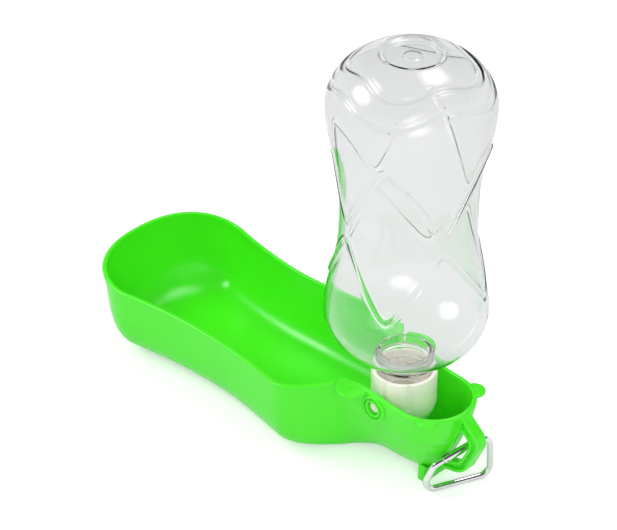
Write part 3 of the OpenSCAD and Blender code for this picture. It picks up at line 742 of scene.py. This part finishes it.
def threadLift(z):  # the neck's thread
    b = bottle
    height = (z - b["mouthZ"] - b["threadFrom"] - b["pitch"] * around / (2 * math.pi)) % b["pitch"]
    shown = smooth((z - b["mouthZ"] - 1) / b["threadFade"]) * smooth((b["threadTo"] - z) / b["threadFade"])
    return b["thread"] * np.exp(-((height - b["pitch"] / 2) / b["threadHalf"]) ** 4) * shown


def rowsBetween(low, high, gap):  # from low up to high, without high
    count = max(1, int(round((high - low).mean() / gap)))
    return [low + (high - low) * k / count for k in range(count)]


def bottleSide(shrink, neck, base, gaps, offsets):
    # rows of points from the mouth to the middle of the base; rows follow the ridges round
    fine, line, outward, bodyFrom, bodyTo = softOutline(shrink, neck, base)
    places = ridgePlaces(fine, line, (fine > bodyFrom) & (fine < bodyTo))
    level = np.ones(len(around))
    rows = [level * s for s in np.arange(0, bodyFrom - 0.2, gaps["neck"])]
    last = level * bodyFrom
    for middle, spread, ridge in places:
        block = [middle + o * spread * ridge["w"] for o in offsets]
        rows += rowsBetween(last, block[0], gaps["body"]) + block[:-1]
        last = block[-1]
    baseFrom = fine[-1] - bottle["fineBase"]
    rows += rowsBetween(last, baseFrom, gaps["body"])
    rows += [level * s for s in np.linspace(baseFrom, fine[-1], gaps["baseRows"])]
    made = []
    for s in rows:
        z, r = (np.interp(s, fine, line[:, i]) for i in (0, 1))
        nz, nr = (np.interp(s, fine, outward[:, i]) for i in (0, 1))
        lift = 0 if shrink else threadLift(z)
        for middle, spread, ridge in places:
            lift = lift + ridge["h"] * np.exp(-np.abs((s - middle) / spread / ridge["w"]) ** 3)
        made.append(np.c_[(r + nr * lift) * np.cos(around), (r + nr * lift) * np.sin(around), z + nz * lift])
    return made


def bottlePiece():
    b = bottle
    w, bore, nub, disc = b["wall"], b["boreR"], b["nubR"], b["discR"]
    mouth, collar, collarTop = b["mouthZ"], b["collarZ"], b["collarZ"] + b["collarT"]
    sunk, nubTop = b["discZ"], b["discZ"] + b["nubH"]
    offsets = (-2.1, -1.5, -1.05, -0.7, -0.35, 0, 0.35, 0.7, 1.05, 1.5, 2.1)
    outNeck = filleted([(mouth, bore + b["mouthHalf"]), (mouth, b["neckR"]), (collar, b["neckR"]),
                        (collar + 0.3, b["collarR"]), (collarTop - 0.3, b["collarR"]),
                        (collarTop, b["neckR"])], [0, 0.4, 0.2, 0.3, 0.3, 0], closed=False)
    outBase = filleted([(b["endZ"] + 0.3, disc + 1.2), (b["endZ"] - 0.2, disc), (sunk, disc - 0.2),
                        (sunk, nub), (nubTop, nub - 0.5), (nubTop, 0)],
                       [0.5, 0.3, 0.5, 0.3, 0.3, 0], closed=False)
    inNeck = filleted([(mouth, bore + b["mouthHalf"]), (mouth, bore), (b["neckTo"], bore)],
                      [0, 0.35, 0], closed=False)
    inBase = filleted([(sunk - w + 0.4, disc - w / 2), (sunk - w, disc - w / 2 - 0.5),
                       (sunk - w, nub - w / 2), (nubTop - w, nub - 0.5 - w / 2), (nubTop - w, 0)],
                      [0.2, 0.4, 0.3, 0.3, 0], closed=False)
    outside = bottleSide(0, outNeck, outBase, dict(neck=0.45, body=1.9, baseRows=40), offsets)
    inside = bottleSide(w, inNeck, inBase, dict(neck=2.0, body=2.6, baseRows=30), offsets[::2])
    rows = outside[::-1] + inside
    return makePiece("clear_bottle", np.concatenate(rows), gridFaces(len(rows), len(around)), 60)


bottleMade = bottlePiece()
bottleMade.visible_shadow = bottleMade.visible_diffuse = False  # light reaches what is inside and behind
hand(bottleMade, clear, "bottle", "bottle")

# Swivel cap

cap = dict(r=14.75, bore=13.05, top=12.5, foot=10.0, footZ=-11.6, roundZ=-3.2, seat=7.5, floorZ=-4.5,
           floorBore=8.8, gasketZ=-1.9, grooveR=1.6, grooveDepth=0.8, grooveZ=-1.8, grooveSoft=0.6,
           grooveTurn=6.5, grooveStep=45, grooveFree=20, columns=320, trunnionR=2.7, face=19.2)
threadSizes = dict(z=1.2, turns=2.5, r=13.15, rise=8.0, ridgeR=0.34)


def capGrooves(a):  # depth of the finger grooves at angle a, none near the tray's long axis
    c = cap
    degrees, half = np.degrees(a), c["grooveStep"] / 2
    near = (degrees - c["grooveTurn"] + half) % c["grooveStep"] - half  # from the nearest groove
    across = c["r"] * np.radians(near)
    rise = c["grooveR"] - np.sqrt(np.clip(c["grooveR"] ** 2 - across ** 2, 0, None))
    depth = np.where(np.abs(across) < c["grooveR"], np.clip(c["grooveDepth"] - rise, 0, None), 0)
    return depth * (np.abs((degrees + 90) % 180 - 90) > c["grooveFree"])


def capCup():
    c = cap
    turns = np.radians(np.linspace(0, 90, 17))
    lower = [(c["roundZ"] - (c["roundZ"] - c["footZ"]) * math.sin(a),
              c["foot"] + (c["r"] - c["foot"]) * math.cos(a)) for a in turns]
    side = [(z, c["r"]) for z in np.linspace(c["grooveZ"] + 2, c["roundZ"] + 1, 5)]
    corners = [(c["gasketZ"], c["bore"]), (c["top"], c["bore"]), (c["top"], c["r"])] + side + lower + [
        (c["footZ"], c["seat"]), (c["floorZ"], c["seat"]), (c["floorZ"], c["floorBore"]),
        (c["gasketZ"], c["floorBore"])]
    profile = filleted(corners, [0.2, 0.5, 0.6] + [0] * (len(side) + len(lower)) + [0.3, 0.2, 0.2, 0.2])
    a = 2 * math.pi * np.arange(c["columns"]) / c["columns"]
    grooves = capGrooves(a)
    points = []
    for z, r in profile:
        cut = grooves * smooth((z - c["grooveZ"]) / c["grooveSoft"]) * (r > c["r"] - 1.0)
        points.append(np.c_[(r - cut) * np.cos(a), (r - cut) * np.sin(a), np.full(len(a), z)])
    return makePiece("swivel_cup", np.concatenate(points), gridFaces(len(profile), c["columns"], True))


def trunnion(side):  # with a shallow dimple in its face
    c = cap
    start, sunk = c["bore"] + 0.3, c["face"] - 0.6
    corners = [(start, 0), (start, c["trunnionR"]), (c["face"], c["trunnionR"]), (c["face"], 0.8),
               (sunk, 0.6), (sunk, 0)]
    return turnedPiece("pin", filleted(corners, [0, 0, 0.4, 0.2, 0.2, 0], 4, False), along=(0, side, 0))


def capThread():  # the helix inside the cap
    t = threadSizes
    place = (pivot + [0, 0, t["z"]]) / 1000
    return coil("cap_thread", ivory, 64, {"Turns": t["turns"], "Coil radius": t["r"] / 1000,
                                          "Length": t["rise"] / 1000, "Wire radius": t["ridgeR"] / 1000,
                                          "Place": tuple(place)})


capMade = capCup()
for side in (-1, 1):
    capMade = combine(capMade, trunnion(side))
capMade = combine(capMade, capThread())
hand(capMade, ivory, "head", "swivel_cap")

# Gasket and outlet valve

gasket = dict(low=-1.9, high=-0.7, bore=8.8, r=12.95)
valve = dict(mouthZ=-21.1, mouthBore=2.0, mouthR=3.5, spoutZ=-16.6, spoutR=4.3, stepZ=-15.6, flangeZ=-11.7,
             flangeR=9.9, topZ=-4.5, bore=6.0, r=7.45)


def gasketPiece():
    g = gasket
    corners = [(g["low"], g["bore"]), (g["low"], g["r"]), (g["high"], g["r"]), (g["high"], g["bore"])]
    return turnedPiece("mouth_gasket", filleted(corners, [0.3, 0.3, 0.35, 0.35]), steps=128, loop=True)


def valvePiece():
    v = valve
    corners = [(v["mouthZ"], v["mouthBore"]), (v["stepZ"], v["mouthBore"]), (v["stepZ"], v["bore"]),
               (v["topZ"], v["bore"]), (v["topZ"], v["r"]), (v["flangeZ"], v["r"]),
               (v["flangeZ"], v["flangeR"]), (v["spoutZ"], v["flangeR"]), (v["spoutZ"], v["spoutR"]),
               (v["mouthZ"], v["mouthR"])]
    profile = filleted(corners, [0.3, 0.2, 0.4, 0.3, 0.4, 0.15, 0.4, 0.6, 0.5, 0.4])
    return turnedPiece("valve_body", profile, steps=128, loop=True)


hand(gasketPiece(), white, "head", "neck_gasket")
hand(valvePiece(), grey, "head", "outlet_valve")

# Spring hook: its own plane has x along its back and y across

hook = dict(wire=3.0, length=34.6, nose=24.5, hinge=13.9, noseLean=1.8, hingeLean=6.4, bend=5.0, turn=67,
            lean=4, x=25.35, y=-14.2, tongue=1.1, tongueSoft=0.25, noseSoft=0.2, notch=0.75)
gate = dict(d=3.6, bore=0.9, rivet=0.6, rivetHole=0.65, pin=0.45, gap=0.3, plungerR=0.85, plungerL=2.4,
            springL=6.0, coilR=0.67, coilRise=5.6, coilTurns=7.0, coilWireR=0.14)


def hookPlace():
    turn, lean = math.radians(hook["turn"]), math.radians(90 + hook["lean"])
    about = Matrix.Rotation(turn, 3, "Z") @ Matrix.Rotation(lean, 3, "X")
    return np.array(about), np.array([hook["x"], hook["y"], hook["wire"] / 2 - pivot[2]])


def bendReach(a, b, c):  # how far a bend at b takes up its two sides
    return hook["bend"] / math.tan(math.acos(unit(a - b) @ unit(c - b)) / 2)


hookTurn, hookAt = hookPlace()
wireR = hook["wire"] / 2
corners = np.array([(hook["hingeLean"] - wireR, hook["hinge"]), (-wireR, 0), (hook["length"] - wireR, 0),
                    (hook["length"] - wireR - hook["noseLean"], hook["nose"])])
gateWay = unit(corners[3] - corners[0])
gateDir, planeDir = hookTurn @ np.array([*gateWay, 0]), hookTurn @ np.array([0, 0, 1.0])

# Places along the gate, from the hinge's corner
noseFrom = np.linalg.norm(corners[3] - corners[0]) - bendReach(corners[2], corners[3], corners[0])
gateStart, gateEnd = bendReach(corners[3], corners[0], corners[1]) + 2.6, noseFrom - 0.6
rivetAt, catchAt = gateStart + 1.6, gateEnd - 1.4
tongueEnd = rivetAt + 1.2
plungerAt = tongueEnd + gate["gap"]
springAt = plungerAt + gate["plungerL"]


def inHook(p):  # a point of the hook's plane, or above it where p has three numbers
    p = np.asarray(p, float)
    return hookTurn @ (p if len(p) == 3 else np.array([*p, 0])) + hookAt


def gatePoint(x, h=0.0, out=0.0):  # along the gate, across it in the hook's plane, and out of the plane
    p = corners[0] + gateWay * x + h * np.array([-gateWay[1], gateWay[0]])
    return inHook([*p, out])


def hookWire():
    path = [corners[0] + gateWay * (gateStart - 0.3), *corners, corners[0] + gateWay * noseFrom]
    curve = bpy.data.curves.new("hook_path", "CURVE")
    curve.dimensions = "3D"
    line = curve.splines.new("POLY")
    line.points.add(len(path) - 1)
    for point, p in zip(line.points, path):
        point.co = (*((inHook(p) + pivot) / 1000), 1)
    rule = NodeTree("bentWireRule")
    bend, steps = rule.size("Bend radius"), rule.size("Bend steps", "NodeSocketInt")
    radius, sides = rule.size("Wire radius"), rule.size("Wire sides", "NodeSocketInt")
    bent = rule.add("GeometryNodeFilletCurve", {"Curve": rule.source.outputs[0], "Count": steps,
                                                "Radius": bend}, mode="POLY")
    rule.close(rule.sweep(bent.outputs[0], radius, sides), aluminium)
    return rule.runOn(linked("hook_wire", curve), {"Bend radius": hook["bend"] / 1000, "Bend steps": 14,
                                                   "Wire radius": hook["wire"] / 2000, "Wire sides": 36}, 50)


def gateBar(name, start, end, high, thick, low=None):
    low = -high / 2 if low is None else low
    points = [gatePoint(x, h, o) for x in (start, end) for h, o in
              ((low, -thick / 2), (low + high, -thick / 2), (low + high, thick / 2), (low, thick / 2))]
    faces = [(0, 1, 2, 3), (4, 5, 6, 7), (0, 1, 5, 4), (1, 2, 6, 5), (2, 3, 7, 6), (3, 0, 4, 7)]
    return makePiece(name, np.array(points), faces)


def crossPin(name, x, radius, half):  # a pin across the gate with domed ends
    dome, small = 0.12, radius * 0.55
    profile = [(-half, 0), (-half, small), (-half + dome, radius), (half - dome, radius), (half, small),
               (half, 0)]
    return turnedPiece(name, profile, origin=gatePoint(x), along=planeDir, steps=32)


def hookFrame():  # bent wire, with a flat tongue at the hinge and a notched one at the nose
    h = hook
    hinge = gateBar("hinge_tongue", gateStart - 1.2, tongueEnd, h["wire"] - 0.5, h["tongue"])
    hinge = carve(bevelled(hinge, h["tongueSoft"]), crossPin("hole", rivetAt, gate["rivetHole"], 3))
    nose = gateBar("nose_tongue", catchAt - 1.2, noseFrom + 0.5, h["wire"] - 0.6, h["tongue"])
    notch = gateBar("notch", catchAt - h["notch"], catchAt + h["notch"], h["wire"] + 0.7, 4, -h["wire"])
    nose = carve(bevelled(nose, h["noseSoft"]), notch)
    piece = combine(combine(hookWire(), hinge), nose)
    piece.name = "hook_wire_frame"
    return piece


def gateTube():  # a bored bar, slotted for both tongues
    g = gate
    r, boreEnd = g["d"] / 2, springAt + g["springL"] + 1.2
    profile = filleted([(gateStart, g["bore"]), (gateStart, r), (gateEnd, r), (gateEnd, 0)],
                       [0.15, 0.35, 0.35, 0], closed=False)
    profile = np.concatenate([[(boreEnd, 0), (boreEnd, g["bore"])], profile])
    piece = turnedPiece("gate_tube", profile, origin=gatePoint(0), along=gateDir, steps=56)
    slotWidth = hook["tongue"] + 2 * g["gap"]
    for start, end in ((gateStart - 1, tongueEnd + 0.6), (catchAt - 1.8, gateEnd + 1)):
        piece = carve(piece, gateBar("slot", start, end, g["d"] + 1, slotWidth))
    for x, pinR in ((rivetAt, g["rivet"]), (catchAt, g["pin"])):
        piece = carve(piece, crossPin("pin_hole", x, pinR, 3))
    return piece


def plungerPiece():
    g = gate
    corners = [(0, 0), (0, g["plungerR"]), (g["plungerL"], g["plungerR"]), (g["plungerL"], 0)]
    return turnedPiece("spring_plunger", filleted(corners, [0, 0.25, 0.15, 0], 4, False),
                       origin=gatePoint(plungerAt), along=gateDir, steps=32)


def gateSpring():
    g = gate
    start = (gatePoint(springAt + 0.2) + pivot) / 1000
    about = Vector((0, 0, 1)).rotation_difference(Vector(gateDir)).to_euler()
    return coil("return_spring", steel, 28, {"Turns": g["coilTurns"], "Coil radius": g["coilR"] / 1000,
                                             "Length": g["coilRise"] / 1000,
                                             "Wire radius": g["coilWireR"] / 1000,
                                             "Place": tuple(start), "Turn": tuple(about)}, 60)


tubeR = gate["d"] / 2
hand(hookFrame(), aluminium, "hook", "hook_frame")
hand(gateTube(), aluminium, "gate", "hook_gate")
hand(crossPin("hinge_rivet", rivetAt, gate["rivet"], tubeR), steel, "gate", "gate_rivet")
hand(crossPin("catch_pin", catchAt, gate["pin"], tubeR - 0.1), steel, "gate", "gate_catch_pin")
hand(plungerPiece(), steel, "gate", "gate_plunger")
hand(gateSpring(), steel, "gate", "gate_spring")

# Background, floor and lamps

studio = dict(level=0.54, fade=(0.3, 0.8), mirrorFade=(0.15, 0.55), inner=0.62,
              overhead={"Is Transmission Ray": 0.55, "Is Glossy Ray": 0.08, "Is Camera Ray": 1.0})
floorLook = dict(tone=(0.80, 0.80, 0.80), lift=0.16, cameraLift=0.42, far=(0.45, 0.9), size=12)
lamps = [dict(name="key", at=(-0.55, -0.45, 0.75), size=(0.62, 0.62), watts=11.88, mirrored=True),
         dict(name="fill", at=(0.62, -0.5, 0.45), size=(0.62, 0.7), watts=8.91, mirrored=False),
         dict(name="top", at=(0.1, 0.35, 0.95), size=(0.8, 0.5), watts=6.93, mirrored=True)]
lampsAim, lampFade, lampMiddle = (-0.02, 0, 0.06), (0.05, 0.5), (0.5, 0.5, 0)


def backgroundLight():  # even light; for camera, mirror and glass rays white, and duller overhead
    s = studio
    world = bpy.data.worlds.new("studio")
    bpy.context.scene.world = world
    world.use_nodes = True
    tree, background = world.node_tree, world.node_tree.nodes["Background"]
    way = addNode(tree, "ShaderNodeTexCoord").outputs["Generated"]
    height = addNode(tree, "ShaderNodeSeparateXYZ", {0: way}).outputs["Z"]
    path = addNode(tree, "ShaderNodeLightPath")
    level = s["level"]
    for name, overhead in s["overhead"].items():  # what each kind of ray finds straight up
        if name == "Is Glossy Ray":  # less dark where it is mirrored inside the bottle's wall
            shade = ranged(tree, height, 1, overhead, *s["mirrorFade"])
            passed = ranged(tree, path.outputs["Transmission Depth"], 0, 1, 0, 1)
            shade = blendLevels(tree, passed, shade, ranged(tree, height, 1, s["inner"], *s["fade"]))
        else:
            shade = ranged(tree, height, 1, overhead, *s["fade"])
        level = blendLevels(tree, path.outputs[name], level, shade)
    tree.links.new(level, background.inputs["Strength"])
    background.inputs["Color"].default_value = (1, 1, 1, 1)


def studioFloor():  # pale round the object, white further off
    f = floorLook
    bpy.ops.mesh.primitive_plane_add(size=f["size"], location=(0, 0, 0))
    floor = bpy.context.object
    floor.name = "studio_floor"
    made, tree, shader = newMaterial("paleFloor", Roughness=0.7, Specular_IOR_Level=0.0,
                                     Emission_Color=(1, 1, 1, 1))
    place = addNode(tree, "ShaderNodeTexCoord").outputs["Object"]
    away = addNode(tree, "ShaderNodeVectorMath", {0: place}, operation="LENGTH").outputs["Value"]
    faded = ranged(tree, away, 0, 1, *f["far"])
    tree.links.new(blendColours(tree, faded, f["tone"], (0, 0, 0)), shader.inputs["Base Color"])
    path = addNode(tree, "ShaderNodeLightPath")
    seen = path.outputs["Is Camera Ray"]
    for name in ("Is Glossy Ray", "Is Transmission Ray"):
        seen = calc(tree, "MAXIMUM", seen, path.outputs[name])
    lift = calc(tree, "MULTIPLY_ADD", path.outputs["Is Camera Ray"], f["cameraLift"] - f["lift"],
                ranged(tree, seen, 0, f["lift"], 0, 1))
    tree.links.new(blendLevels(tree, faded, lift, 1.0), shader.inputs["Emission Strength"])
    floor.data.materials.append(made)


def softbox(lamp):  # a lamp that fades towards its edge
    light = bpy.data.lights.new(lamp["name"], "AREA")
    light.shape = "RECTANGLE"
    light.size, light.size_y = lamp["size"]
    light.energy = lamp["watts"]
    light.use_nodes = True
    tree = light.node_tree
    place = addNode(tree, "ShaderNodeNewGeometry").outputs["Parametric"]
    away = addNode(tree, "ShaderNodeVectorMath", {0: place, 1: lampMiddle}, operation="DISTANCE")
    faded = ranged(tree, away.outputs["Value"], 1, 0, *lampFade)
    tree.links.new(faded, tree.nodes["Emission"].inputs["Strength"])
    shown = linked(lamp["name"], light)
    shown.location = lamp["at"]
    shown.visible_glossy = lamp["mirrored"]
    shown.rotation_euler = (Vector(lampsAim) - Vector(lamp["at"])).to_track_quat("-Z", "Y").to_euler()


backgroundLight()
studioFloor()
for lamp in lamps:
    softbox(lamp)
bpy.context.scene.view_settings.view_transform = "Standard"
print("studio set")
